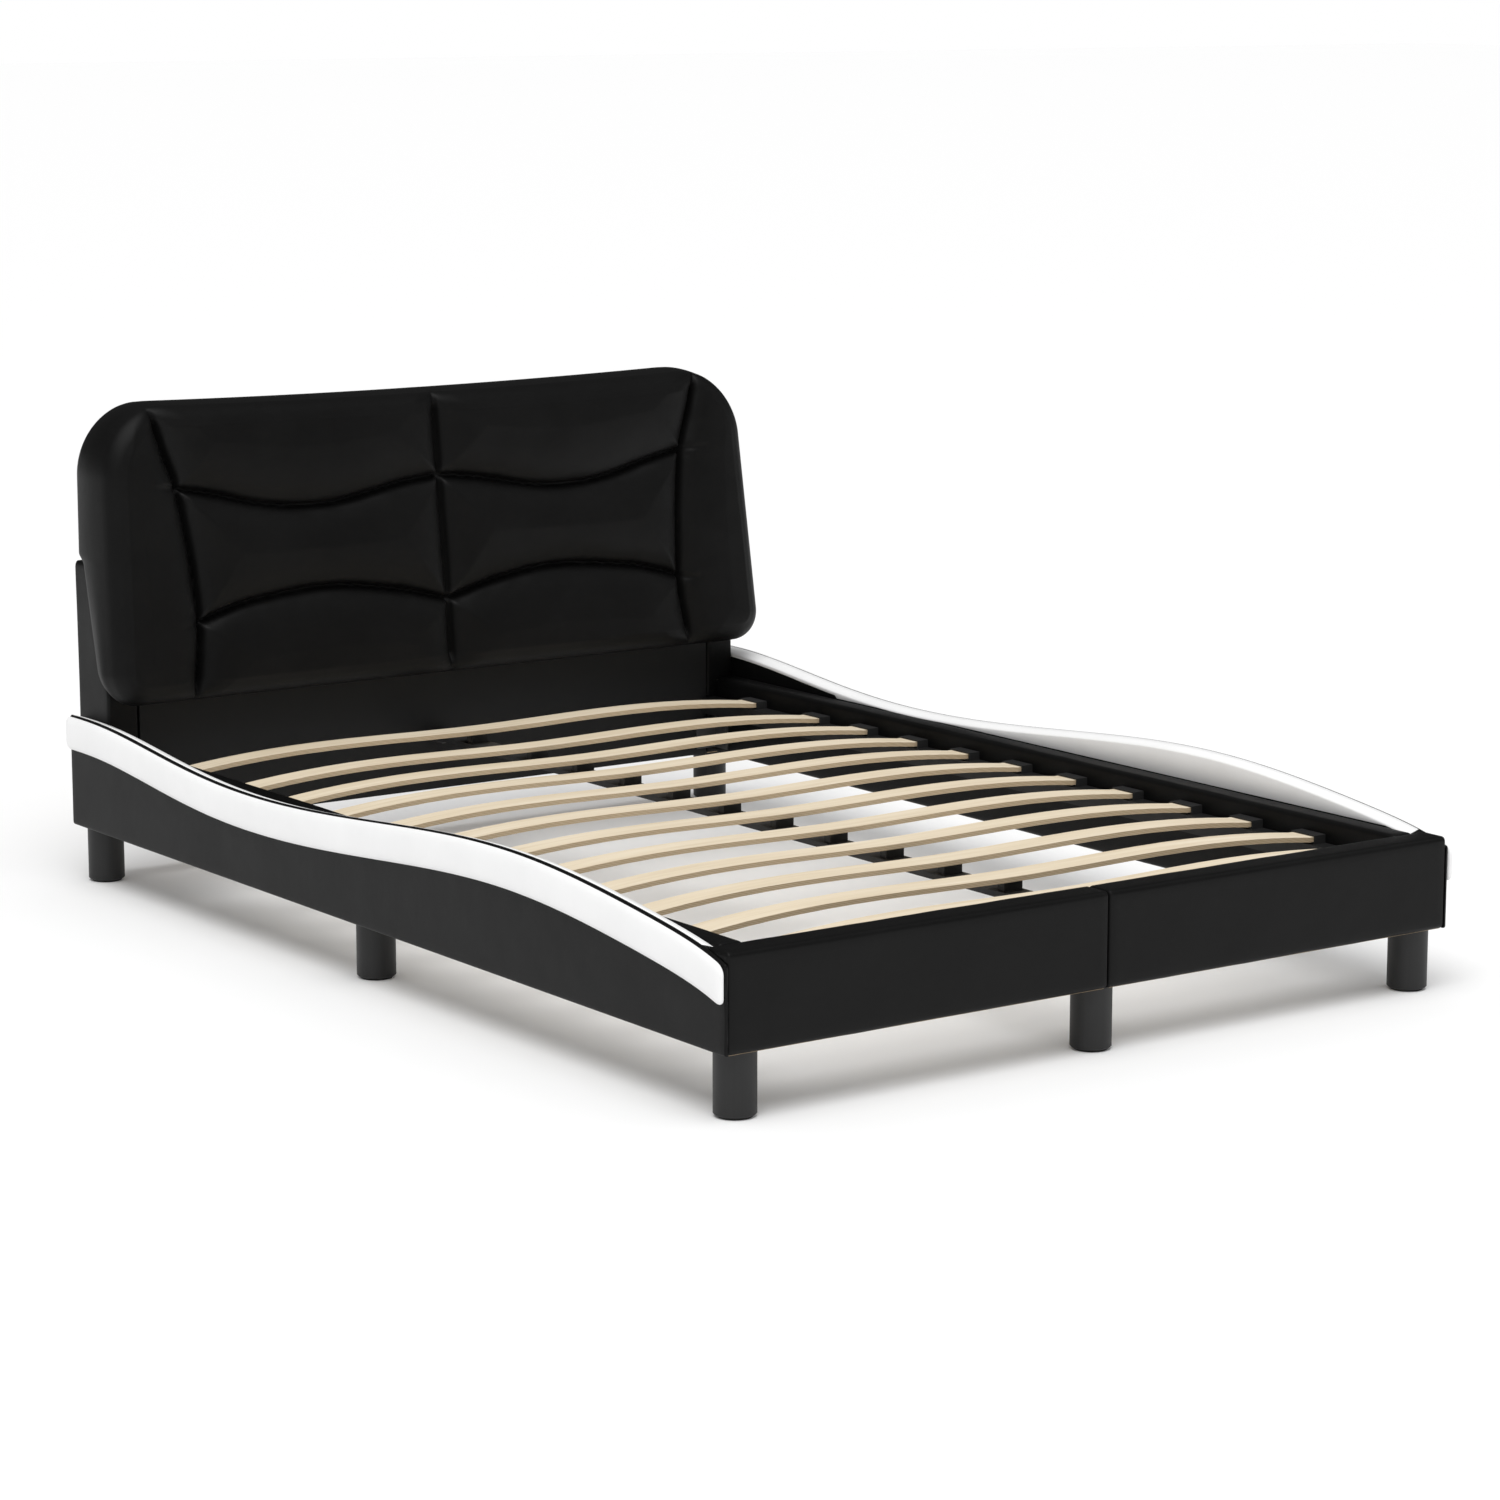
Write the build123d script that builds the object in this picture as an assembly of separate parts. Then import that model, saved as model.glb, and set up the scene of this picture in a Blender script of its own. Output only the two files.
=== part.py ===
from build123d import *
import os

os.makedirs("parts", exist_ok=True)

# Bed with a leaning padded headboard, wavy side panels and sprung slats.
# All sizes are in millimetres.  X runs across the bed, Y from foot to head, Z up.

# overall sizes
foot_board_width = 1400.0
side_length = 2030.0
headboard_overhang = 22.0
leg_height = 100.0
board_height = 150.0
headboard_top = 572.0
cushion_top = 848.0

# thicknesses
foot_board_thickness = 54.0
skin = 5.0
rail_thickness = 43.0
side_panel_thickness = 27.0
side_edge_skin = 5.0
trim_proud = 8.0
trim_height = 56.0
trim_lip = 4.0
cap_sheet = 1.5
cap_setback = 2.0
cap_band = 7.0
cap_slope = 8.0
cap_full_length = 1600.0

# legs
leg_radius = 32.0
leg_inset = 40.0
middle_leg_inset = 54.0
middle_leg_share = 0.525
head_leg_back = 39.0
glide_radius = 26.0
glide_height = 3.0
leg_chamfer = 2.5

# headboard
headboard_depth = 116.0
post_width = 60.0
post_side_gap = 2.0
post_knee = 345.0
post_top_depth = 40.0
headboard_panel_thickness = 30.0
seam_gap = 2.0
back_rail_width = 80.0
back_rail_thickness = 18.0
back_cloth_thickness = 1.0

# cushion
cushion_inset_low = 3.0
cushion_inset_high = 26.0
cushion_bottom = 330.0
cushion_reach_low = 79.0
cushion_reach_high = 18.0
cushion_back_inset_low = 27.0
cushion_back_inset_high = 6.0
cushion_gap = 2.0
cushion_corner_top = 126.0
cushion_corner_low = 62.0
cushion_edge_round = 24.0
cushion_board_thickness = 9.0
cushion_board_margin = 90.0

# slats
slat_width = 50.0
slat_thickness = 8.0
slat_count = 12
slat_foot_gap = 8.0
slat_head_gap = 121.0
slat_head_pitch_ratio = 1.353
slat_end_top = 224.0
slat_peak_top = 241.0
slat_dip_top = 236.5
slat_end_gap = 4.0
slat_visible_gap = 24.0
cap_side = 3.0
cap_floor = 3.0
cap_roof = 1.6
cap_play = 0.8
ledge_width = 32.0
ledge_height = 30.0
holder_height = 18.5
holder_length = 36.0
holder_inset = 17.0

# centre beam
beam_width = 46.0
beam_thickness = 10.0
bracket_plate = 3.0
bracket_tongue = 60.0

# corner hardware
angle_leg = 45.0
angle_height = 60.0
angle_thickness = 3.0
bolt_head_radius = 6.5
bolt_head_height = 3.0
joining_plate_length = 160.0
joining_plate_height = 70.0
plate_clearance = 2.0

# derived places
overall_depth = side_length + headboard_overhang
half_width = foot_board_width / 2.0
base_z = leg_height
top_z = leg_height + board_height
panel_outer_x = half_width + side_edge_skin
panel_inner_x = panel_outer_x - side_panel_thickness
rail_outer_x = panel_inner_x
rail_inner_x = rail_outer_x - rail_thickness
head_back_y = overall_depth
head_front_y = overall_depth - headboard_depth
rail_end_y = head_front_y
rail_length = rail_end_y - foot_board_thickness
slat_run = rail_length - slat_foot_gap - slat_width - slat_head_gap
slat_pitch = slat_run / (slat_count - 2 + slat_head_pitch_ratio)
slat_pitch_head = slat_pitch * slat_head_pitch_ratio
middle_leg_y = side_length * middle_leg_share
beam_top = slat_dip_top - slat_thickness - holder_height
cushion_width_low = foot_board_width - 2 * cushion_inset_low
cushion_width_high = foot_board_width - 2 * cushion_inset_high
cushion_front_low = head_front_y - cushion_reach_low
cushion_front_high = head_front_y - cushion_reach_high
cushion_back_low = head_back_y - cushion_back_inset_low
cushion_back_high = head_back_y - cushion_back_inset_high
post_outer_x = panel_inner_x - post_side_gap
post_inner_x = post_outer_x - post_width
slat_half_visible = rail_inner_x - slat_visible_gap
slat_half = rail_inner_x - slat_end_gap
mid_y = overall_depth / 2.0
mirror_x = Plane.YZ


def put(shape):
    return shape.moved(Location((0, -mid_y, 0)))


def save(shape, node):
    export_step(put(shape), "parts/" + node + ".step")


def block(x0, x1, y0, y1, z0, z1):
    box = Box(x1 - x0, y1 - y0, z1 - z0)
    return box.moved(Location(((x0 + x1) / 2.0, (y0 + y1) / 2.0, (z0 + z1) / 2.0)))


def save_group(pieces, node):
    export_step(Compound(children=[put(piece) for piece in pieces]), "parts/" + node + ".step")


def flipped(shape):
    return shape.mirror(mirror_x)


def save_pair(shape, node):
    save(shape, node + "_left")
    save(flipped(shape), node + "_right")


def save_group_pair(pieces, node):
    save_group(pieces, node + "_left")
    save_group([flipped(piece) for piece in pieces], node + "_right")


# the foot board, in two halves that meet at the middle
foot_mid_gap = 1.0
foot_x0 = -half_width
foot_x1 = -foot_mid_gap / 2.0
foot_cover = block(foot_x0, foot_x1, 0, foot_board_thickness, base_z, top_z)
foot_cover = fillet(foot_cover.edges().filter_by(Axis.X).group_by(Axis.Z)[-1], 6.0)
foot_cover = fillet(foot_cover.edges().filter_by(Axis.Z).group_by(Axis.Y)[0], 4.0)
foot_core = block(foot_x0 + skin, foot_x1 - skin, skin, foot_board_thickness - skin, base_z, top_z - skin)
foot_cover = foot_cover - foot_core
save_pair(foot_core, "footboard_core")
save_pair(foot_cover, "footboard_cover")

# steel plate that joins the two halves on the inside
plate_z = beam_top - beam_thickness - bracket_plate - plate_clearance - joining_plate_height / 2
plate_y0 = foot_board_thickness
plate = block(-joining_plate_length / 2, joining_plate_length / 2, plate_y0, plate_y0 + bracket_plate,
              plate_z - joining_plate_height / 2, plate_z + joining_plate_height / 2)
plate_bolts = []
for bolt_x in (-joining_plate_length * 0.35, -joining_plate_length * 0.15,
               joining_plate_length * 0.15, joining_plate_length * 0.35):
    for bolt_z in (plate_z - 25.0, plate_z + 5.0):
        head = Cylinder(bolt_head_radius, bolt_head_height)
        head = head.moved(Location((bolt_x, plate_y0 + bracket_plate + bolt_head_height / 2, bolt_z), (90, 0, 0)))
        plate_bolts.append(head)
save(plate, "footboard_joining_plate")
save_group(plate_bolts, "footboard_plate_bolts")

# straight side rails between the foot board and the headboard
rail_cover = block(-rail_outer_x, -rail_inner_x, foot_board_thickness, rail_end_y, base_z, top_z)
rail_cover = fillet(rail_cover.edges().filter_by(Axis.Y).group_by(Axis.Z)[-1].sort_by(Axis.X)[-1], 6.0)
rail_core = block(-rail_outer_x + skin, -rail_inner_x - skin, foot_board_thickness + skin, rail_end_y - skin,
                  base_z, top_z - skin)
rail_cover = rail_cover - rail_core
save_pair(rail_core, "rail_core")
save_pair(rail_cover, "rail_cover")

# wavy side panels: heights of the white trim's upper edge, set out on a panel of the usual length
wave_length = 2030.0
wave_board_top = 250.0
wave = [(0.0, 234.0), (182.0, 267.5), (400.0, 292.5), (590.0, 300.5), (800.0, 292.0), (1115.0, 266.0),
        (1370.0, 256.5), (1600.0, 266.0), (1811.0, 288.0), (1930.0, 295.5), (2030.0, 296.0)]


def wave_points(lift):
    points = []
    for y, z in wave:
        points.append((y * side_length / wave_length, z - wave_board_top + top_z + lift))
    return points


def panel_solid(x0, x1, y0, y1, z_low, lift):
    upper = Spline(*wave_points(lift))
    start = upper @ 0
    end = upper @ 1
    sides = [
        upper,
        Line((end.X, end.Y), (end.X, z_low)),
        Line((end.X, z_low), (start.X, z_low)),
        Line((start.X, z_low), (start.X, start.Y)),
    ]
    face = make_face(Wire(sides).edges())
    face = Plane.YZ * face
    solid = extrude(face, amount=x1 - x0, dir=(1, 0, 0)).moved(Location((x0, 0, 0)))
    keep = block(x0 - 1, x1 + 1, y0, y1, z_low - 1, top_z + 200.0)
    return solid & keep


def above_wave(x, lift):
    upper = Spline(*wave_points(lift))
    start = upper @ 0
    end = upper @ 1
    roof = top_z + 200.0
    sides = [
        upper,
        Line((end.X, end.Y), (end.X, roof)),
        Line((end.X, roof), (start.X, roof)),
        Line((start.X, roof), (start.X, start.Y)),
    ]
    return (Plane.YZ * make_face(Wire(sides).edges())).moved(Location((x, 0, 0)))


def slope_lift(x):
    return trim_lip - cap_slope * (x + panel_outer_x) / side_panel_thickness


# the upper edge of a panel falls inwards, towards the mattress
def slope_cutter(x0, x1, raised):
    return loft([above_wave(x0, slope_lift(x0) + raised), above_wave(x1, slope_lift(x1) + raised)], ruled=True)


# the skin runs on over the end of the foot board, the board behind it stops at the foot board
edge_slope = slope_cutter(-panel_outer_x - 1.0, -panel_inner_x + 1.0, 0.0)
core_slope = slope_cutter(-panel_outer_x - 1.0, -panel_inner_x + 1.0, -skin)
panel_full = panel_solid(-panel_outer_x, -panel_inner_x, foot_board_thickness, side_length, base_z, trim_lip)
panel_nose = panel_solid(-panel_outer_x, -half_width, 0, foot_board_thickness, base_z, trim_lip)
panel_core = panel_solid(-half_width, -panel_inner_x - skin, foot_board_thickness + skin,
                         side_length - skin, base_z, trim_lip - skin)
panel_core = panel_core - core_slope
panel_cover = (panel_full + panel_nose) - edge_slope - panel_core

# white leather let into the panel's sloping upper edge and its inner face down to the rail,
# narrowing to an even band beside the headboard end
cap_end_y = head_front_y - 1.0
full_end_y = side_length * cap_full_length / wave_length
edge_cap = block(-panel_outer_x + cap_setback, -panel_inner_x, foot_board_thickness + 1.0,
                 side_length, top_z + 0.5, top_z + 150.0)
under_slope = slope_cutter(-panel_outer_x - 1.0, -panel_inner_x + 1.0, -cap_sheet)
under_cap = panel_solid(-panel_outer_x, -panel_inner_x - cap_sheet, 0, side_length, base_z, trim_lip) - under_slope
beside_head = block(-panel_inner_x - cap_sheet, -panel_inner_x + 5.0, cap_end_y, side_length + 5.0, base_z,
                    top_z + trim_lip - cap_slope + 30.0)
band_cut = panel_solid(-panel_inner_x - cap_sheet, -panel_inner_x + 5.0, full_end_y, side_length, base_z,
                       trim_lip - cap_slope - cap_band)
edge_cap = edge_cap - edge_slope - under_cap - beside_head - band_cut
panel_cover = panel_cover - edge_cap
save_pair(panel_core, "side_panel_core")
save_pair(panel_cover, "side_panel_cover")

# padded trim along the top of each side panel
trim_upper = Spline(*wave_points(0.0))
trim_lower = Spline(*wave_points(-trim_height))
trim_start = trim_upper @ 0
trim_end = trim_upper @ 1
trim_lines = [
    trim_upper,
    Line((trim_end.X, trim_end.Y), (trim_end.X, trim_end.Y - trim_height)),
    trim_lower,
    Line((trim_start.X, trim_start.Y - trim_height), (trim_start.X, trim_start.Y)),
]
trim_face = Plane.YZ * make_face(Wire(trim_lines).edges())
trim = extrude(trim_face, amount=trim_proud, dir=(1, 0, 0)).moved(Location((-panel_outer_x - trim_proud, 0, 0)))
trim = fillet(trim.edges().filter_by(Axis.X).group_by(Axis.Y)[0], 14.0)
save_group_pair([trim] + edge_cap.solids(), "side_trim")

# ledges along the rails that carry the slat ends
slat_end_bottom = slat_end_top - slat_thickness
ledge_top = slat_end_bottom - cap_play - cap_floor
ledge = block(-rail_inner_x, -rail_inner_x + ledge_width, foot_board_thickness, rail_end_y,
              ledge_top - ledge_height, ledge_top)
save_pair(ledge, "slat_ledge")

# slats: one continuous strip, arched in each half and dipping over the beam
slat_places = []
for number in range(slat_count - 1):
    slat_places.append(foot_board_thickness + slat_foot_gap + number * slat_pitch)
slat_places.append(slat_places[-1] + slat_pitch_head)


def slat_line(lift):
    flat = slat_half_visible - 8.0
    curve = Spline((-flat, slat_end_top + lift), (-flat / 2, slat_peak_top + lift), (0, slat_dip_top + lift),
                   (flat / 2, slat_peak_top + lift), (flat, slat_end_top + lift))
    return curve, flat


upper_curve, slat_flat = slat_line(0.0)
lower_curve, slat_flat = slat_line(-slat_thickness)
low_z = slat_end_bottom
slat_lines = [
    upper_curve,
    Line((slat_flat, slat_end_top), (slat_half, slat_end_top)),
    Line((slat_half, slat_end_top), (slat_half, low_z)),
    Line((slat_half, low_z), (slat_flat, low_z)),
    lower_curve,
    Line((-slat_flat, low_z), (-slat_half, low_z)),
    Line((-slat_half, low_z), (-slat_half, slat_end_top)),
    Line((-slat_half, slat_end_top), (-slat_flat, slat_end_top)),
]
slat_face = Plane.XZ * make_face(Wire(slat_lines).edges())
slat = extrude(slat_face, amount=slat_width, dir=(0, 1, 0))
for number, place in enumerate(slat_places):
    save(slat.moved(Location((0, place, 0))), "slat_%02d" % (number + 1))

# moulded caps that hold the slat ends, and holders on the beam
cap_z0 = ledge_top
cap_z1 = slat_end_top + cap_play + cap_roof
cap_x0 = -rail_inner_x + 0.5
cap_x1 = -slat_half_visible
caps = []
holders = []
for place in slat_places:
    cap = block(cap_x0, cap_x1, place - cap_side, place + slat_width + cap_side, cap_z0, cap_z1)
    pocket = block(-slat_half - cap_play, cap_x1 + 1, place - cap_play, place + slat_width + cap_play,
                   slat_end_bottom - cap_play, slat_end_top + cap_play)
    caps.append(cap - pocket)
    holder = block(-holder_length / 2, holder_length / 2, place + holder_inset, place + slat_width - holder_inset,
                   beam_top, slat_dip_top - slat_thickness - 0.3)
    holders.append(holder)
save_group_pair(caps, "slat_end_caps")
save_group(holders, "slat_beam_holders")

# centre beam and the plates that hang it between foot board and headboard
beam_y0 = foot_board_thickness + 8.0
beam_y1 = rail_end_y - 6.0
beam = block(-beam_width / 2, beam_width / 2, beam_y0, beam_y1, beam_top - beam_thickness, beam_top)
save(beam, "centre_beam")
tongue_z = beam_top - beam_thickness
foot_bracket = block(-beam_width / 2, beam_width / 2, foot_board_thickness, foot_board_thickness + bracket_plate,
                     tongue_z - bracket_plate, beam_top - 2)
foot_bracket = foot_bracket + block(-beam_width / 2, beam_width / 2, foot_board_thickness,
                                    foot_board_thickness + bracket_tongue, tongue_z - bracket_plate, tongue_z)
save(foot_bracket, "beam_bracket_foot")
head_bracket = block(-beam_width / 2, beam_width / 2, rail_end_y - bracket_plate, rail_end_y,
                     tongue_z - bracket_plate, beam_top - 2)
head_bracket = head_bracket + block(-beam_width / 2, beam_width / 2, rail_end_y - bracket_tongue,
                                    rail_end_y, tongue_z - bracket_plate, tongue_z)
save(head_bracket, "beam_bracket_head")

# headboard base: two wedge-shaped posts with an upholstered panel between them
knee_lift = post_knee
top_front_y = head_back_y - post_top_depth
wedge = [(head_back_y, base_z), (head_front_y, base_z), (head_front_y, knee_lift),
         (top_front_y, headboard_top), (head_back_y, headboard_top)]


def wedge_solid(points, x0, x1):
    face = Plane.YZ * make_face(Polyline(*points, close=True).edges())
    return extrude(face, amount=x1 - x0, dir=(1, 0, 0)).moved(Location((x0, 0, 0)))


inner_wedge = [(head_back_y - skin, base_z), (head_front_y + skin, base_z), (head_front_y + skin, knee_lift - 3),
               (top_front_y + skin, headboard_top - skin), (head_back_y - skin, headboard_top - skin)]
post = wedge_solid(wedge, -post_outer_x, -post_inner_x)
post = fillet(post.edges().filter_by(Axis.X).group_by(Axis.Z)[-1].sort_by(Axis.Y)[-1], 14.0)
post_core = wedge_solid(inner_wedge, -post_outer_x + skin, -post_inner_x - skin)
post_core = fillet(post_core.edges().filter_by(Axis.X).group_by(Axis.Z)[-1].sort_by(Axis.Y)[-1], 12.0)
post_cover = post - post_core
save_pair(post_core, "headboard_post_core")
save_pair(post_cover, "headboard_post_cover")

panel_half = post_inner_x - seam_gap
panel_front = head_front_y + 1.0
panel_shape = [(panel_front, base_z), (panel_front, knee_lift), (top_front_y, headboard_top - 4),
               (top_front_y + headboard_panel_thickness, headboard_top - 4),
               (panel_front + headboard_panel_thickness, knee_lift + 2),
               (panel_front + headboard_panel_thickness, base_z)]
panel_core_shape = [(panel_front + skin, base_z), (panel_front + skin, knee_lift - 1),
                    (top_front_y + skin + 1, headboard_top - 4 - skin),
                    (top_front_y + headboard_panel_thickness, headboard_top - 4 - skin),
                    (panel_front + headboard_panel_thickness, knee_lift + 2),
                    (panel_front + headboard_panel_thickness, base_z)]
head_panel = wedge_solid(panel_shape, -panel_half, panel_half)
head_panel_core = wedge_solid(panel_core_shape, -panel_half + skin, panel_half - skin)
head_panel_cover = head_panel - head_panel_core
save(head_panel_core, "headboard_panel_core")
save(head_panel_cover, "headboard_panel_cover")

# rails across the back of the headboard base and the cloth that closes it
back_rail_y1 = head_back_y - back_cloth_thickness - 6.0
back_cloth_y0 = head_back_y - back_cloth_thickness - 2.0
back_rail_y0 = back_rail_y1 - back_rail_thickness
back_rail_low = block(-post_inner_x, post_inner_x, back_rail_y0, back_rail_y1, base_z + 8, base_z + 8 + back_rail_width)
back_rail_mid_z = base_z + 215.0
back_rail_high = block(-post_inner_x, post_inner_x, back_rail_y0, back_rail_y1,
                       back_rail_mid_z, back_rail_mid_z + back_rail_width)
save(back_rail_low, "headboard_back_rail_low")
save(back_rail_high, "headboard_back_rail_high")
back_cloth = block(-post_inner_x + 0.5, post_inner_x - 0.5, back_cloth_y0, back_cloth_y0 + back_cloth_thickness,
                   base_z + 4, headboard_top - 12)
save(back_cloth, "headboard_back_cloth")

# the padded headrest: bottom edge stands in front of the posts, upper part leans above them
slope = (top_front_y - head_front_y) / (headboard_top - knee_lift)
rest_low_y = head_front_y - cushion_gap
rest_knee_z = headboard_top + 6.0
rest_knee_y = head_front_y - cushion_gap + slope * (rest_knee_z - knee_lift)
cushion_profile = [(cushion_front_low, cushion_bottom), (rest_low_y, cushion_bottom), (rest_low_y, knee_lift),
                   (rest_knee_y, rest_knee_z), (cushion_back_low, rest_knee_z), (cushion_back_high, cushion_top),
                   (cushion_front_high, cushion_top)]
cushion_side = Plane.YZ * make_face(Polyline(*cushion_profile, close=True).edges())
cushion_bar = extrude(cushion_side, amount=cushion_width_low + 200, dir=(1, 0, 0))
cushion_bar = cushion_bar.moved(Location((-(cushion_width_low + 200) / 2, 0, 0)))
low = cushion_width_low / 2.0
high = cushion_width_high / 2.0
outline = Polyline((-low, cushion_bottom), (low, cushion_bottom), (high, cushion_top), (-high, cushion_top), close=True)
outline_face = make_face(outline.edges())
corner_points = outline_face.vertices()
upper_corners = corner_points.group_by(Axis.Y)[-1]
lower_corners = corner_points.group_by(Axis.Y)[0]
outline_face = fillet(upper_corners, cushion_corner_top)
outline_face = fillet(outline_face.vertices().group_by(Axis.Y)[0], cushion_corner_low)
outline_face = Plane.XZ * outline_face
cutter = extrude(outline_face, amount=600, dir=(0, 1, 0)).moved(Location((0, cushion_front_low - 200, 0)))
cushion = cushion_bar & cutter
front_edges = []
for edge in cushion.edges():
    middle = edge @ 0.5
    front_at = cushion_front_low + (cushion_front_high - cushion_front_low) * (
        (middle.Z - cushion_bottom) / (cushion_top - cushion_bottom))
    if abs(middle.Y - front_at) < 1.0:
        front_edges.append(edge)
cushion = fillet(front_edges, cushion_edge_round)

# plywood board let into the back of the headrest, above the posts
board_z0 = rest_knee_z + 12.0
board_z1 = cushion_top - cushion_board_margin
lean = (cushion_back_high - cushion_back_low) / (cushion_top - rest_knee_z)


def back_at(z):
    return cushion_back_low + lean * (z - rest_knee_z)


board_half = high - cushion_board_margin
board_points = [(back_at(board_z0) - cushion_board_thickness, board_z0), (back_at(board_z0), board_z0),
                (back_at(board_z1), board_z1), (back_at(board_z1) - cushion_board_thickness, board_z1)]
cushion_board = wedge_solid(board_points, -board_half, board_half)
cushion = cushion - cushion_board
save(cushion, "headboard_cushion")
save(cushion_board, "cushion_back_board")

# steel straps that tie the headrest board down to the upper back rail
strap_thickness = 3.0
strap_width = 30.0
strap_low_z = back_rail_mid_z + 20.0
strap_bend_z = headboard_top + 16.0
strap_meet_z = board_z0 + 60.0
strap_top_z = board_z0 + 120.0
strap_front_y = back_rail_y1
strap_shape = [(strap_front_y, strap_low_z), (strap_front_y + strap_thickness, strap_low_z),
               (strap_front_y + strap_thickness, strap_bend_z + 2.0),
               (back_at(strap_meet_z) + strap_thickness, strap_meet_z + 2.0),
               (back_at(strap_top_z) + strap_thickness, strap_top_z),
               (back_at(strap_top_z), strap_top_z), (back_at(strap_meet_z), strap_meet_z),
               (strap_front_y, strap_bend_z)]
straps = []
for side in (-1, 1):
    x_mid = side * (board_half - 60.0)
    straps.append(wedge_solid(strap_shape, x_mid - strap_width / 2, x_mid + strap_width / 2))
save_group(straps, "headrest_straps")

# legs
corner_x = half_width - leg_inset
legs = {
    "leg_foot_left": (-corner_x, leg_inset),
    "leg_foot_right": (corner_x, leg_inset),
    "leg_foot_centre": (0.0, leg_inset),
    "leg_head_left": (-corner_x, side_length - head_leg_back),
    "leg_head_right": (corner_x, side_length - head_leg_back),
    "leg_middle_left": (-(half_width - middle_leg_inset), middle_leg_y),
}
for name, (leg_x, leg_y) in legs.items():
    leg = Cylinder(leg_radius, leg_height - glide_height)
    leg = leg.moved(Location((leg_x, leg_y, glide_height + (leg_height - glide_height) / 2)))
    leg = chamfer(leg.edges().filter_by(GeomType.CIRCLE).group_by(Axis.Z)[0], leg_chamfer)
    glide = Cylinder(glide_radius, glide_height).moved(Location((leg_x, leg_y, glide_height / 2)))
    save(leg, name)
    legs[name] = (leg_x, leg_y, glide)
save_group([value[2] for value in legs.values()], "leg_glides")

# angle plates in the four inner corners
angle_z0 = base_z + 12.0
foot_angle = block(-rail_inner_x, -rail_inner_x + angle_leg, foot_board_thickness,
                   foot_board_thickness + angle_thickness, angle_z0, angle_z0 + angle_height)
foot_angle = foot_angle + block(-rail_inner_x, -rail_inner_x + angle_thickness, foot_board_thickness,
                                foot_board_thickness + angle_leg, angle_z0, angle_z0 + angle_height)
save_pair(foot_angle, "corner_plate_foot")
head_angle = block(-rail_inner_x, -rail_inner_x + angle_leg, rail_end_y - angle_thickness, rail_end_y,
                   angle_z0, angle_z0 + angle_height)
head_angle = head_angle + block(-rail_inner_x, -rail_inner_x + angle_thickness, rail_end_y - angle_leg, rail_end_y,
                                angle_z0, angle_z0 + angle_height)
save_pair(head_angle, "corner_plate_head")
screws = []
for side in (-1, 1):
    for z in (angle_z0 + 15, angle_z0 + 45):
        for y in (foot_board_thickness + 32, rail_end_y - 32):
            screw = Cylinder(bolt_head_radius, bolt_head_height)
            x = side * (rail_inner_x - angle_thickness - bolt_head_height / 2)
            screws.append(screw.moved(Location((x, y, z), (0, 90, 0))))
save_group(screws, "corner_plate_bolts")
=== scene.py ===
import bpy
import math
import numpy as np
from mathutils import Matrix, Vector, noise


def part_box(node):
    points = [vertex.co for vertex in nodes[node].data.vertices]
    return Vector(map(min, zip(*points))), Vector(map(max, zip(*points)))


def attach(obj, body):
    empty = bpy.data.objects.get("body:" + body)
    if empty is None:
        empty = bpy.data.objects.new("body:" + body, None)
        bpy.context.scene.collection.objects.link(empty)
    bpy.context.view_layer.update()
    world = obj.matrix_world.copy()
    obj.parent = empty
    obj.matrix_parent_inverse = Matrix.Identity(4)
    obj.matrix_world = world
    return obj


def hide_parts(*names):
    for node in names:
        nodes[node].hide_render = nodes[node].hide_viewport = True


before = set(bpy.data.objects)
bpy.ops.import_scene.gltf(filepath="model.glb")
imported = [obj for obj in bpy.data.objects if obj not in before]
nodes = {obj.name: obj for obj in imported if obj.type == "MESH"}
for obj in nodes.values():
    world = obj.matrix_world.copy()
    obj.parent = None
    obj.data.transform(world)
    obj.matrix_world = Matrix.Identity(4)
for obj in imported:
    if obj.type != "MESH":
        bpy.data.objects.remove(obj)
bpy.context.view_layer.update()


# ---------------------------------------------------------------- materials

def material(name):
    mat = bpy.data.materials.new(name)
    mat.use_nodes = True
    tree = mat.node_tree
    tree.nodes.clear()
    out = tree.nodes.new("ShaderNodeOutputMaterial")
    shader = tree.nodes.new("ShaderNodeBsdfPrincipled")
    tree.links.new(shader.outputs["BSDF"], out.inputs["Surface"])
    return mat, tree, shader


def add(tree, kind, **values):
    node = tree.nodes.new(kind)
    for key, value in values.items():
        if hasattr(node, key) and key not in node.inputs:
            setattr(node, key, value)
        else:
            node.inputs[key].default_value = value
    return node


def mapped(tree, scale):
    where = tree.nodes.new("ShaderNodeTexCoord")
    mapping = tree.nodes.new("ShaderNodeMapping")
    mapping.inputs["Scale"].default_value = scale
    tree.links.new(where.outputs["Object"], mapping.inputs["Vector"])
    return mapping.outputs["Vector"]


def ramp(tree, source, stops):
    node = tree.nodes.new("ShaderNodeValToRGB")
    band = node.color_ramp
    band.elements[0].position = stops[0][0]
    band.elements[0].color = stops[0][1] + (1,)
    band.elements[1].position = stops[-1][0]
    band.elements[1].color = stops[-1][1] + (1,)
    for place, colour in stops[1:-1]:
        element = band.elements.new(place)
        element.color = colour + (1,)
    tree.links.new(source, node.inputs["Fac"])
    return node.outputs["Color"]


def grey(value):
    return (value, value, value)


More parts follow.
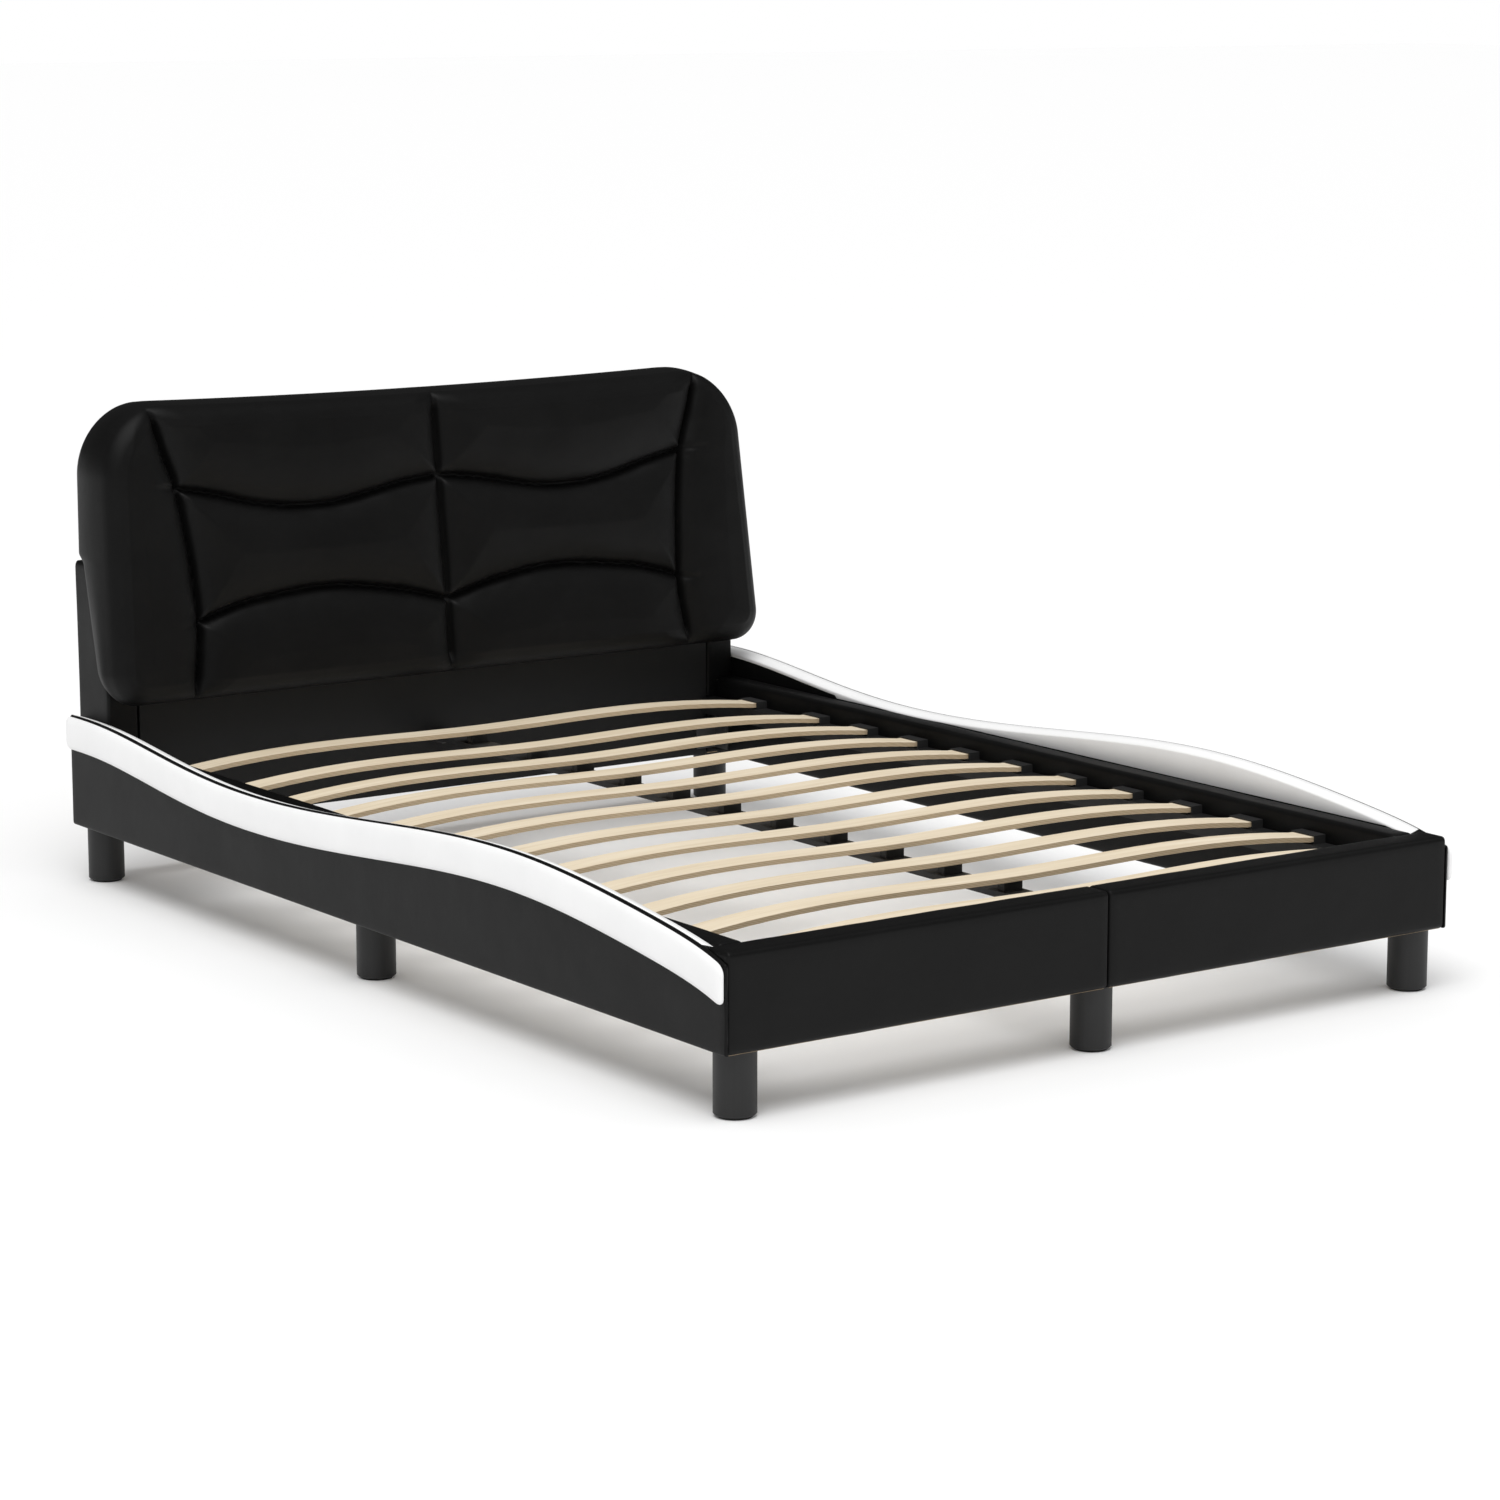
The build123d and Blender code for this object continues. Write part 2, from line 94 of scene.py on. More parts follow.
def leather(name, dark, light, rough_low, rough_high, grain, shine, coat):
    """Soft coated leather: pebble grain, broad colour change, worn edges, uneven sheen."""
    mat, tree, shader = material(name)
    fine = add(tree, "ShaderNodeTexVoronoi", feature="DISTANCE_TO_EDGE", Scale=620.0, Randomness=1.0)
    tree.links.new(mapped(tree, (1, 1, 1)), fine.inputs["Vector"])
    pores = add(tree, "ShaderNodeTexNoise", Scale=1500.0, Detail=3.0)
    tree.links.new(mapped(tree, (1, 1, 1)), pores.inputs["Vector"])
    broad = add(tree, "ShaderNodeTexNoise", Scale=7.0, Detail=4.0, Roughness=0.6)
    tree.links.new(mapped(tree, (1, 1, 1)), broad.inputs["Vector"])
    colour = ramp(tree, broad.outputs["Fac"], [(0.3, dark), (0.7, light)])
    edge = add(tree, "ShaderNodeNewGeometry")
    worn = tree.nodes.new("ShaderNodeMapRange")
    worn.inputs["From Min"].default_value = 0.52
    worn.inputs["From Max"].default_value = 0.62
    tree.links.new(edge.outputs["Pointiness"], worn.inputs["Value"])
    mix = tree.nodes.new("ShaderNodeMix")
    mix.data_type = "RGBA"
    mix.inputs[7].default_value = tuple(min(1.0, c * 1.7 + 0.006) for c in light) + (1,)
    tree.links.new(colour, mix.inputs[6])
    tree.links.new(worn.outputs["Result"], mix.inputs[0])
    tree.links.new(mix.outputs[2], shader.inputs["Base Color"])
    rough = tree.nodes.new("ShaderNodeMapRange")
    rough.inputs["To Min"].default_value = rough_low
    rough.inputs["To Max"].default_value = rough_high
    tree.links.new(broad.outputs["Fac"], rough.inputs["Value"])
    tree.links.new(rough.outputs["Result"], shader.inputs["Roughness"])
    pebble_bump = add(tree, "ShaderNodeBump", Strength=grain, Distance=0.0006)
    tree.links.new(fine.outputs["Distance"], pebble_bump.inputs["Height"])
    pore_bump = add(tree, "ShaderNodeBump", Strength=grain * 0.5, Distance=0.0004)
    tree.links.new(pores.outputs["Fac"], pore_bump.inputs["Height"])
    tree.links.new(pebble_bump.outputs["Normal"], pore_bump.inputs["Normal"])
    ripple = add(tree, "ShaderNodeTexNoise", Scale=24.0, Detail=2.0)
    tree.links.new(mapped(tree, (1, 1, 1)), ripple.inputs["Vector"])
    ripple_bump = add(tree, "ShaderNodeBump", Strength=0.25, Distance=0.002)
    tree.links.new(ripple.outputs["Fac"], ripple_bump.inputs["Height"])
    tree.links.new(pore_bump.outputs["Normal"], ripple_bump.inputs["Normal"])
    tree.links.new(ripple_bump.outputs["Normal"], shader.inputs["Normal"])
    shader.inputs["Specular IOR Level"].default_value = shine
    shader.inputs["Coat Weight"].default_value = coat
    shader.inputs["Coat Roughness"].default_value = 0.35
    return mat


def birch(name):
    """Birch ply strip: long grain on the faces, thin glue lines and darker fibre on the sides."""
    mat, tree, shader = material(name)
    grain = add(tree, "ShaderNodeTexNoise", Scale=1.0, Detail=6.0, Roughness=0.6, Distortion=0.3)
    tree.links.new(mapped(tree, (4, 95, 60)), grain.inputs["Vector"])
    cloud = add(tree, "ShaderNodeTexNoise", Scale=1.0, Detail=3.0)
    tree.links.new(mapped(tree, (3, 14, 8)), cloud.inputs["Vector"])
    face = ramp(tree, grain.outputs["Fac"], [(0.25, (0.70, 0.585, 0.415)), (0.5, (0.80, 0.69, 0.52)),
                                             (0.75, (0.86, 0.765, 0.61))])
    plies = add(tree, "ShaderNodeTexWave", wave_type="BANDS", bands_direction="Z", Scale=1.0, Distortion=0.6,
                Detail=1.0)
    tree.links.new(mapped(tree, (0.5, 3, 130)), plies.inputs["Vector"])
    side = ramp(tree, plies.outputs["Fac"], [(0.0, (0.40, 0.29, 0.17)), (0.6, (0.55, 0.43, 0.28)),
                                             (1.0, (0.66, 0.54, 0.38))])
    geometry = add(tree, "ShaderNodeNewGeometry")
    axes = add(tree, "ShaderNodeSeparateXYZ")
    tree.links.new(geometry.outputs["Normal"], axes.inputs["Vector"])
    upright = tree.nodes.new("ShaderNodeMath")
    upright.operation = "ABSOLUTE"
    tree.links.new(axes.outputs["Z"], upright.inputs[0])
    facing = tree.nodes.new("ShaderNodeMapRange")
    facing.inputs["From Min"].default_value = 0.45
    facing.inputs["From Max"].default_value = 0.8
    tree.links.new(upright.outputs["Value"], facing.inputs["Value"])
    mix = tree.nodes.new("ShaderNodeMix")
    mix.data_type = "RGBA"
    tree.links.new(facing.outputs["Result"], mix.inputs[0])
    tree.links.new(side, mix.inputs[6])
    tree.links.new(face, mix.inputs[7])
    tint = tree.nodes.new("ShaderNodeMix")
    tint.data_type = "RGBA"
    tint.blend_type = "MULTIPLY"
    tint.inputs[0].default_value = 0.35
    tree.links.new(mix.outputs[2], tint.inputs[6])
    tree.links.new(ramp(tree, cloud.outputs["Fac"], [(0.3, (0.86, 0.82, 0.75)), (0.7, (1.0, 1.0, 1.0))]),
                   tint.inputs[7])
    tree.links.new(tint.outputs[2], shader.inputs["Base Color"])
    shader.inputs["Roughness"].default_value = 0.5
    shader.inputs["Specular IOR Level"].default_value = 0.35
    bump = add(tree, "ShaderNodeBump", Strength=0.25, Distance=0.0006)
    tree.links.new(grain.outputs["Fac"], bump.inputs["Height"])
    tree.links.new(bump.outputs["Normal"], shader.inputs["Normal"])
    return mat


def plain_wood(name, dark, light, rough):
    mat, tree, shader = material(name)
    grain = add(tree, "ShaderNodeTexNoise", Scale=1.0, Detail=7.0, Roughness=0.65, Distortion=0.8)
    tree.links.new(mapped(tree, (6, 6, 80)), grain.inputs["Vector"])
    tree.links.new(ramp(tree, grain.outputs["Fac"], [(0.3, dark), (0.7, light)]), shader.inputs["Base Color"])
    shader.inputs["Roughness"].default_value = rough
    bump = add(tree, "ShaderNodeBump", Strength=0.3, Distance=0.0008)
    tree.links.new(grain.outputs["Fac"], bump.inputs["Height"])
    tree.links.new(bump.outputs["Normal"], shader.inputs["Normal"])
    return mat


def coated(name, base, rough, metal, speck_scale):
    """Painted steel or moulded plastic: fine orange peel, rubbed edges, slight dust."""
    mat, tree, shader = material(name)
    peel = add(tree, "ShaderNodeTexNoise", Scale=speck_scale, Detail=3.0)
    tree.links.new(mapped(tree, (1, 1, 1)), peel.inputs["Vector"])
    dust = add(tree, "ShaderNodeTexNoise", Scale=12.0, Detail=5.0)
    tree.links.new(mapped(tree, (1, 1, 1)), dust.inputs["Vector"])
    edge = add(tree, "ShaderNodeNewGeometry")
    worn = tree.nodes.new("ShaderNodeMapRange")
    worn.inputs["From Min"].default_value = 0.53
    worn.inputs["From Max"].default_value = 0.65
    tree.links.new(edge.outputs["Pointiness"], worn.inputs["Value"])
    mix = tree.nodes.new("ShaderNodeMix")
    mix.data_type = "RGBA"
    mix.inputs[7].default_value = tuple(c * 2.2 + 0.01 for c in base) + (1,)
    tree.links.new(ramp(tree, dust.outputs["Fac"], [(0.35, tuple(c * 0.85 for c in base)),
                                                    (0.7, tuple(c * 1.25 for c in base))]), mix.inputs[6])
    tree.links.new(worn.outputs["Result"], mix.inputs[0])
    tree.links.new(mix.outputs[2], shader.inputs["Base Color"])
    shader.inputs["Metallic"].default_value = metal
    spread = tree.nodes.new("ShaderNodeMapRange")
    spread.inputs["To Min"].default_value = rough - 0.06
    spread.inputs["To Max"].default_value = rough + 0.1
    tree.links.new(dust.outputs["Fac"], spread.inputs["Value"])
    tree.links.new(spread.outputs["Result"], shader.inputs["Roughness"])
    bump = add(tree, "ShaderNodeBump", Strength=0.12, Distance=0.0004)
    tree.links.new(peel.outputs["Fac"], bump.inputs["Height"])
    tree.links.new(bump.outputs["Normal"], shader.inputs["Normal"])
    return mat


def felt(name, base):
    """Thin non-woven cloth: crossed fibres and a dotted bond pattern."""
    mat, tree, shader = material(name)
    dots = add(tree, "ShaderNodeTexVoronoi", Scale=420.0, Randomness=0.15)
    tree.links.new(mapped(tree, (1, 1, 1)), dots.inputs["Vector"])
    fibre = add(tree, "ShaderNodeTexNoise", Scale=900.0, Detail=4.0)
    tree.links.new(mapped(tree, (1, 0.3, 1)), fibre.inputs["Vector"])
    tree.links.new(ramp(tree, fibre.outputs["Fac"], [(0.3, tuple(c * 0.7 for c in base)),
                                                     (0.7, tuple(c * 1.5 for c in base))]),
                   shader.inputs["Base Color"])
    shader.inputs["Roughness"].default_value = 0.92
    shader.inputs["Sheen Weight"].default_value = 0.25
    bump = add(tree, "ShaderNodeBump", Strength=0.4, Distance=0.0006)
    tree.links.new(dots.outputs["Distance"], bump.inputs["Height"])
    tree.links.new(bump.outputs["Normal"], shader.inputs["Normal"])
    return mat


black_leather = leather("black_leather", grey(0.0030), grey(0.0048), 0.42, 0.54, 0.35, 0.17, 0.01)
white_leather = leather("white_leather", grey(0.88), grey(0.92), 0.42, 0.55, 0.15, 0.35, 0.03)
slat_birch = birch("slat_birch")
board_ply = plain_wood("board_ply", (0.30, 0.21, 0.12), (0.55, 0.42, 0.27), 0.7)
ledge_stain = plain_wood("ledge_stain", grey(0.004), grey(0.009), 0.6)
black_plastic = coated("black_plastic", grey(0.004), 0.65, 0.0, 900.0)
leg_satin = coated("leg_satin", grey(0.005), 0.5, 0.0, 700.0)
beam_paint = coated("beam_paint", grey(0.005), 0.6, 0.0, 500.0)
steel_paint = coated("steel_paint", grey(0.03), 0.42, 0.4, 600.0)
cloth_black = felt("cloth_black", grey(0.012))


# ---------------------------------------------------------------- mesh helpers

def finish_mesh(name, points, faces, mat):
    """A smooth object from points and faces, with one material."""
    mesh = bpy.data.meshes.new(name)
    mesh.from_pydata([tuple(p) for p in points], [], faces)
    mesh.materials.append(mat)
    mesh.shade_smooth()
    mesh.update()
    obj = bpy.data.objects.new(name, mesh)
    bpy.context.scene.collection.objects.link(obj)
    return obj


def spaced(low, high, round_by, step):
    """Places along one axis, close together in the rounded ends."""
    ends = [0.0, 0.08, 0.22, 0.42, 0.68]
    count = max(2, int(math.ceil((high - low - 2 * round_by) / step)))
    inner = np.linspace(low + round_by, high - round_by, count + 1)
    start = [low + round_by * t for t in ends]
    finish = [high - round_by * t for t in reversed(ends)]
    return np.array(start + list(inner) + finish)


def soft_block(low, high, radii, steps):
    """Closed block with rounded edges, as points, quads and normals. Radii may differ along each axis."""
    low = np.array(low, float)
    high = np.array(high, float)
    radii = np.array(radii, float)
    grids = [spaced(low[i], high[i], radii[i], steps[i]) for i in range(3)]
    index = {}
    points = []
    faces = []

    def vertex(i, j, k):
        key = (i, j, k)
        if key not in index:
            index[key] = len(points)
            points.append((grids[0][i], grids[1][j], grids[2][k]))
        return index[key]

    counts = [len(g) for g in grids]
    for axis in range(3):
        a, b = [(1, 2), (2, 0), (0, 1)][axis]
        for end in (0, counts[axis] - 1):
            for i in range(counts[a] - 1):
                for j in range(counts[b] - 1):
                    quad = []
                    for di, dj in ((0, 0), (1, 0), (1, 1), (0, 1)):
                        place = [0, 0, 0]
                        place[axis] = end
                        place[a] = i + di
                        place[b] = j + dj
                        quad.append(vertex(*place))
                    if end == 0:
                        quad.reverse()
                    faces.append(quad)
    points = np.array(points)
    inner = np.clip(points, low + radii, high - radii)
    away = (points - inner) / radii
    length = np.linalg.norm(away, axis=1)
    length[length == 0] = 1
    normal = away / length[:, None]
    rounded = inner + normal * radii
    return rounded, faces, normal


def wobble(points, normals, amount, size, seed, weight):
    """Padded cloth is never quite flat: a slow uneven swell along the normals."""
    finer = 2.7
    finer_share = 0.4
    moved = points.copy()
    for i, p in enumerate(points):
        x, y, z = p / size
        n = noise.noise(Vector((x + seed, y + 3.1 * seed, z - seed)))
        n += finer_share * noise.noise(Vector((x * finer - seed, y * finer, z * finer + seed)))
        moved[i] += normals[i] * n * amount * weight[i]
    return moved


def node_points(name):
    """Every vertex of a CAD node, in the frame."""
    obj = nodes[name]
    data = np.zeros(len(obj.data.vertices) * 3)
    obj.data.vertices.foreach_get("co", data)
    flat = data.reshape(-1, 3)
    matrix = np.array(obj.matrix_world)
    return flat @ matrix[:3, :3].T + matrix[:3, 3]


def node_box(name):
    """Lower and upper corner of a CAD node."""
    return [np.array(corner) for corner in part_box(name)]


def stand_for(obj, node):
    """A padded piece that takes the place of its CAD node."""
    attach(obj, "root")
    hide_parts(node)


# ---------------------------------------------------------------- straight covers

cover_step = 0.012
cover_crown = 0.0006
cover_unevenness = 0.0007
cover_swell_size = 0.11
cover_spare = 0.002


def padded_cover(name, node, radii, seed, crease):
    """Upholstered board: rounded edges, a slightly full face and one pulled crease near its end."""
    low, high = node_box(node)
    points, faces, normals = soft_block(low, high, radii, (cover_step,) * 3)
    rel = (points - (low + high) / 2) / ((high - low) / 2)
    bulge = np.ones(len(points))
    for axis in range(3):
        bulge *= 1 - np.clip(np.abs(rel[:, axis]), 0, 1) ** 6 * (np.abs(normals[:, axis]) < 0.9)
    points = wobble(points, normals, cover_unevenness, cover_swell_size, seed, bulge)
    points = points + normals * (cover_crown * bulge)[:, None]
    place, axis, depth, width = crease
    gap = np.abs(points[:, axis] - place)
    points = points - normals * (depth * np.exp(-(gap / width) ** 2) * bulge)[:, None]
    points = np.clip(points, low - cover_spare, high + cover_spare)
    stand_for(finish_mesh(name, points, faces, black_leather), node)


sides = (("left", -1), ("right", 1))

for side, sign in sides:
    low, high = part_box("footboard_cover_" + side)
    foot_end = low[0] if sign < 0 else high[0]
    padded_cover("foot_cover_" + side, "footboard_cover_" + side, (0.005, 0.008, 0.008), 2.3 + sign,
                 (foot_end - sign * 0.055, 0, 0.0005, 0.010))
    low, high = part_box("rail_cover_" + side)
    padded_cover("rail_wrap_" + side, "rail_cover_" + side, (0.008, 0.004, 0.008), 5.7 + sign,
                 (low[1] + 0.03, 1, 0.0008, 0.008))


# ---------------------------------------------------------------- wavy panels and white trim

def upper_edge(points):
    """The upper edge of a wavy piece as a smooth function of the place along the bed."""
    low, high = points[:, 1].min(), points[:, 1].max()
    bins = np.linspace(low, high, 60)
    envelope = []
    for y in bins:
        near = points[np.abs(points[:, 1] - y) < 0.035]
        envelope.append(near[:, 2].max() if len(near) else np.nan)
    envelope = np.array(envelope)
    good = ~np.isnan(envelope)
    ceiling = np.interp(points[:, 1], bins[good], envelope[good])
    on_edge = points[points[:, 2] > ceiling - 0.011]
    middle = (low + high) / 2
    half = (high - low) / 2
    fit = np.polyfit((on_edge[:, 1] - middle) / half, on_edge[:, 2], 9)
    return lambda y: np.polyval(fit, (np.clip(y, low, high) - middle) / half)


def outer_x(low, high, sign):
    return low[0] if sign < 0 else high[0]


def panel_wrap(side, sign, crest_at, fall):
    """Upholstered side panel: its top follows the wave and falls inwards."""
    node = "side_panel_cover_" + side
    low, high = node_box(node)
    skin_out = outer_x(low, high, sign)
    points, faces, normals = soft_block(low, high, (0.004, 0.003, 0.006), (0.006, 0.012, 0.012))
    share = (points[:, 2] - low[2]) / (high[2] - low[2])
    bulge = (1 - np.abs(share * 2 - 1) ** 6) * (normals[:, 0] * sign > 0.9)
    points = wobble(points, normals, 0.0007, 0.13, 9.1 + sign, bulge)
    share = (points[:, 2] - low[2]) / (high[2] - low[2])
    crest = crest_at(np.clip(points[:, 1], low[1] + 0.0005, high[1] - 0.0005))
    points[:, 2] = low[2] + share * (crest - fall * np.abs(points[:, 0] - skin_out) - low[2])
    # beside the end of the foot board only the outer skin goes on, so the inner side steps outwards
    nose_low, nose_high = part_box("footboard_cover_" + side)
    nose_x = outer_x(nose_low, nose_high, sign)
    inner_side = points[:, 0] * sign < nose_x * sign
    near_foot = points[:, 1] < nose_high[1] + 0.004
    points[inner_side & near_foot, 0] = nose_x
    panel = finish_mesh("panel_wrap_" + side, points, faces, black_leather)
    stand_for(panel, node)


trim_tall = 0.056
trim_over = 0.0015
trim_out = 0.0025
trim_crown = 0.0016


def padded_band(sign, skin_out, band_low, band_high, band_top, seed):
    """The padded white band: a flat one is made first and then bent to the wave."""
    x0, x1 = sorted((skin_out, outer_x(band_low, band_high, sign) + sign * trim_out))
    points, faces, normals = soft_block((x0, band_low[1] - trim_over, -trim_tall - trim_over),
                                        (x1, band_high[1], trim_over),
                                        (0.0048, 0.016, 0.012), (0.004, 0.010, 0.006))
    face = np.clip(normals[:, 0] * sign, 0, 1)
    across = (points[:, 2] + trim_tall / 2) / (trim_tall / 2)
    points[:, 0] += sign * face * trim_crown * (1 - np.clip(np.abs(across), 0, 1) ** 2)
    points = wobble(points, normals, 0.0004, 0.07, seed, face)
    points[:, 2] += band_top(points[:, 1])
    return list(points), [list(quad) for quad in faces]


sheet_stations = 300
sheet_band = 0.007
sheet_least = 0.0035


def white_sheet(sign, skin_out, sheet, sheet_in, crest_at, fall, start):
    """The white sheet over the panel's upper edge and inner face, swept along the wave."""
    inside = sheet[np.abs(sheet[:, 0] - sheet_in) < 0.0002]
    rail_top = inside[:, 2].min()
    inside_end = inside[inside[:, 2] < inside[:, 2].max() - 0.004][:, 1].max()
    full_end = inside[inside[:, 2] < rail_top + 0.0005][:, 1].max()
    width = abs(sheet_in - skin_out)
    points = []
    for y in np.linspace(sheet[:, 1].min(), sheet[:, 1].max(), sheet_stations):
        crest = crest_at(y)
        inner_top = crest - fall * width
        foot_z = rail_top if y <= full_end else inner_top - sheet_band
        if y > inside_end:
            foot_z = inner_top - sheet_least
        foot_z = min(max(foot_z, rail_top), inner_top - sheet_least)
        # distance inwards from the skin, and height: out along the top, down the inner face and back
        section = [(0.0045, crest - fall * 0.0045 - 0.0010), (0.0047, crest - fall * 0.0047 + 0.0003),
                   (0.0150, crest - fall * 0.0150 + 0.0004),
                   (width - 0.0030, inner_top + fall * 0.0030 + 0.0003),
                   (width - 0.0010, inner_top - 0.0003), (width, inner_top - 0.0012),
                   (width + 0.0003, inner_top - 0.0028), (width + 0.0003, foot_z + 0.0004),
                   (width, foot_z), (width - 0.0010, foot_z),
                   (width - 0.0010, inner_top - 0.0030), (width - 0.0040, inner_top - 0.0010)]
        points += [(skin_out - sign * inwards, y, z) for inwards, z in section]
    around = len(section)
    faces = []
    for row in range(sheet_stations - 1):
        for col in range(around):
            a = start + row * around + col
            b = start + row * around + (col + 1) % around
            quad = [a, b, b + around, a + around]
            faces.append(quad if sign < 0 else quad[::-1])
    foot_ring = [start + col for col in range(around)]
    head_ring = [start + (sheet_stations - 1) * around + col for col in range(around)]
    faces.append(foot_ring[::-1] if sign < 0 else foot_ring)
    faces.append(head_ring if sign < 0 else head_ring[::-1])
    return points, faces


def wavy_side(side, sign):
    """One side's upholstered panel and its white trim, both along the same wave."""
    low, high = node_box("side_panel_cover_" + side)
    skin_out = outer_x(low, high, sign)
    trim_points = node_points("side_trim_" + side)
    band = trim_points[np.abs(trim_points[:, 0]) > abs(skin_out) + 0.001]
    sheet = trim_points[np.abs(trim_points[:, 0]) < abs(skin_out) - 0.001]
    band_top = upper_edge(band)
    panel_points = node_points("side_panel_cover_" + side)
    panel_end = panel_points[panel_points[:, 1] > high[1] - 0.001]
    rise = panel_end[:, 2].max() - band_top(band[:, 1].max())

    def crest_at(y):
        return band_top(y) + rise

    # the panel's upper edge falls inwards by this much for each metre across
    sheet_out = sheet[np.argmax(np.abs(sheet[:, 0])), 0]
    sheet_in = sheet[np.argmin(np.abs(sheet[:, 0])), 0]
    ending = sheet[sheet[:, 1] > sheet[:, 1].max() - 0.001]
    ending_inside = ending[np.abs(ending[:, 0] - sheet_in) < 0.0003]
    fall = (ending[:, 2].max() - ending_inside[:, 2].max()) / abs(sheet_out - sheet_in)

    panel_wrap(side, sign, crest_at, fall)
    points, faces = padded_band(sign, skin_out, band.min(axis=0), band.max(axis=0), band_top, 4.4 + sign)
    sheet_points, sheet_faces = white_sheet(sign, skin_out, sheet, sheet_in, crest_at, fall, len(points))
    trim = finish_mesh("trim_" + side, points + sheet_points, faces + sheet_faces, white_leather)
    stand_for(trim, "side_trim_" + side)


for side, sign in sides:
    wavy_side(side, sign)


# ---------------------------------------------------------------- headboard posts

def post_wrap(side, sign):
    """Wedge-shaped post: upright below the knee, leaning back above it."""
    node = "headboard_post_cover_" + side
    low, high = node_box(node)
    cad_points = node_points(node)
    knee = cad_points[cad_points[:, 1] < low[1] + 0.0005][:, 2].max()
    top_front = cad_points[cad_points[:, 2] > high[2] - 0.0005][:, 1].min()
    points, faces, normals = soft_block(low, high, (0.006, 0.009, 0.012), (0.010, 0.010, 0.012))
    level = (points[:, 2] - low[2]) / (high[2] - low[2]) * 2 - 1
    bulge = (1 - np.abs(level) ** 8) * (np.abs(normals[:, 0]) > 0.9)
    points = wobble(points, normals, 0.0006, 0.09, 6.6 + sign, bulge)
    lean = np.clip((points[:, 2] - knee) / (high[2] - knee), 0, 1)
    front = low[1] + lean * (top_front - low[1])
    share = (high[1] - points[:, 1]) / (high[1] - low[1])
    points[:, 1] = high[1] - share * (high[1] - front)
    post = finish_mesh("post_wrap_" + side, points, faces, black_leather)
    stand_for(post, node)


for side, sign in sides:
    post_wrap(side, sign)


# ---------------------------------------------------------------- headrest

rest_low, rest_high = node_box("headboard_cushion")
rest_points = node_points("headboard_cushion")
rest_z0 = rest_low[2]
rest_z1 = rest_high[2]
rest_tall = rest_z1 - rest_z0
base_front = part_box("headboard_post_cover_left")[0][1]
post_top_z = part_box("headboard_post_cover_left")[1][2]

half_low = 0.698
half_high = 0.676
corner_top = 0.124
corner_low = 0.060
front_lean = 0.061


def straight_half(z):
    """Half width at a height, before the corners are rounded."""
    return half_low + (half_high - half_low) * np.clip((z - rest_z0) / rest_tall, 0, 1)


def half_width(z):
    """Half width of the outline at a height, corners included."""
    w = straight_half(z)
    if z > rest_z1 - corner_top:
        t = (z - (rest_z1 - corner_top)) / corner_top
        w -= corner_top * (1 - math.sqrt(max(0.0, 1 - t * t)))
    if z < rest_z0 + corner_low:
        t = ((rest_z0 + corner_low) - z) / corner_low
        w -= corner_low * (1 - math.sqrt(max(0.0, 1 - t * t)))
    return w


def edge_distance(x, z):
    """Distance from the outline, counted inwards."""
    w = straight_half(z)
    mid = (rest_z0 + rest_z1) / 2
    r = np.where(z > mid, corner_top, corner_low)
    qx = np.abs(x) - (w - r)
    qz = np.where(z > mid, z - (rest_z1 - r), (rest_z0 + r) - z)
    outside = np.sqrt(np.maximum(qx, 0) ** 2 + np.maximum(qz, 0) ** 2)
    inside = np.minimum(np.maximum(qx, qz), 0)
    return np.maximum(0.0, r - outside - inside)


def curve_through(points, count=260):
    """Smooth line through a few points."""
    points = np.array(points, float)
    padded_points = np.vstack([2 * points[0] - points[1], points, 2 * points[-1] - points[-2]])
    out = []
    for i in range(1, len(padded_points) - 2):
        p0, p1, p2, p3 = padded_points[i - 1:i + 3]
        for t in np.linspace(0, 1, count // (len(points) - 1), endpoint=False):
            out.append(0.5 * ((2 * p1) + (p2 - p0) * t + (2 * p0 - 5 * p1 + 4 * p2 - p3) * t * t
                              + (3 * p1 - p0 - 3 * p2 + p3) * t ** 3))
    out.append(points[-1])
    return np.array(out)


# seams on one half of the front, as (across, up) in metres
wing_seam = [(0.586, rest_z1 + 0.004), (0.562, 0.770), (0.541, 0.703), (0.525, 0.600), (0.518, 0.520),
             (0.517, 0.465), (0.519, 0.425), (0.534, rest_z0 - 0.004)]
upper_seam = [(0.0, 0.693), (0.085, 0.683), (0.210, 0.660), (0.300, 0.657), (0.385, 0.668), (0.465, 0.688),
              (0.541, 0.703)]
lower_seam = [(0.0, 0.465), (0.110, 0.492), (0.245, 0.508), (0.395, 0.496), (0.470, 0.480), (0.518, 0.465)]
centre_seam = [(0.0, rest_z1 + 0.004), (0.0, 0.7), (0.0, 0.5), (0.0, rest_z0 - 0.004)]
# each seam with where its puckers start in the noise and how strong they are
seams = [(curve_through(wing_seam), 0, 1.0), (curve_through(upper_seam), 5, 1.0),
         (curve_through(lower_seam), 9, 1.0), (curve_through(centre_seam), 13, 0.6)]


def nearest(x, z, line):
    """Distance to a seam line and how far along it the nearest point lies."""
    best = np.full(x.shape, 9.0)
    where = np.zeros(x.shape)
    steps = np.linalg.norm(np.diff(line, axis=0), axis=1)
    along = np.concatenate([[0], np.cumsum(steps)])
    for i in range(len(line) - 1):
        a = line[i]
        d = line[i + 1] - a
        size = d @ d
        t = np.clip(((x - a[0]) * d[0] + (z - a[1]) * d[1]) / size, 0, 1)
        gap = np.hypot(x - a[0] - t * d[0], z - a[1] - t * d[1])
        closer = gap < best
        best = np.where(closer, gap, best)
        where = np.where(closer, along[i] + t * steps[i], where)
    return best, where


def dense(count, share):
    """Places from 0 to 1, closer at both ends."""
    t = np.linspace(0, 1, count)
    ease = (1 - np.cos(np.pi * t)) / 2
    return (1 - share) * t + share * ease


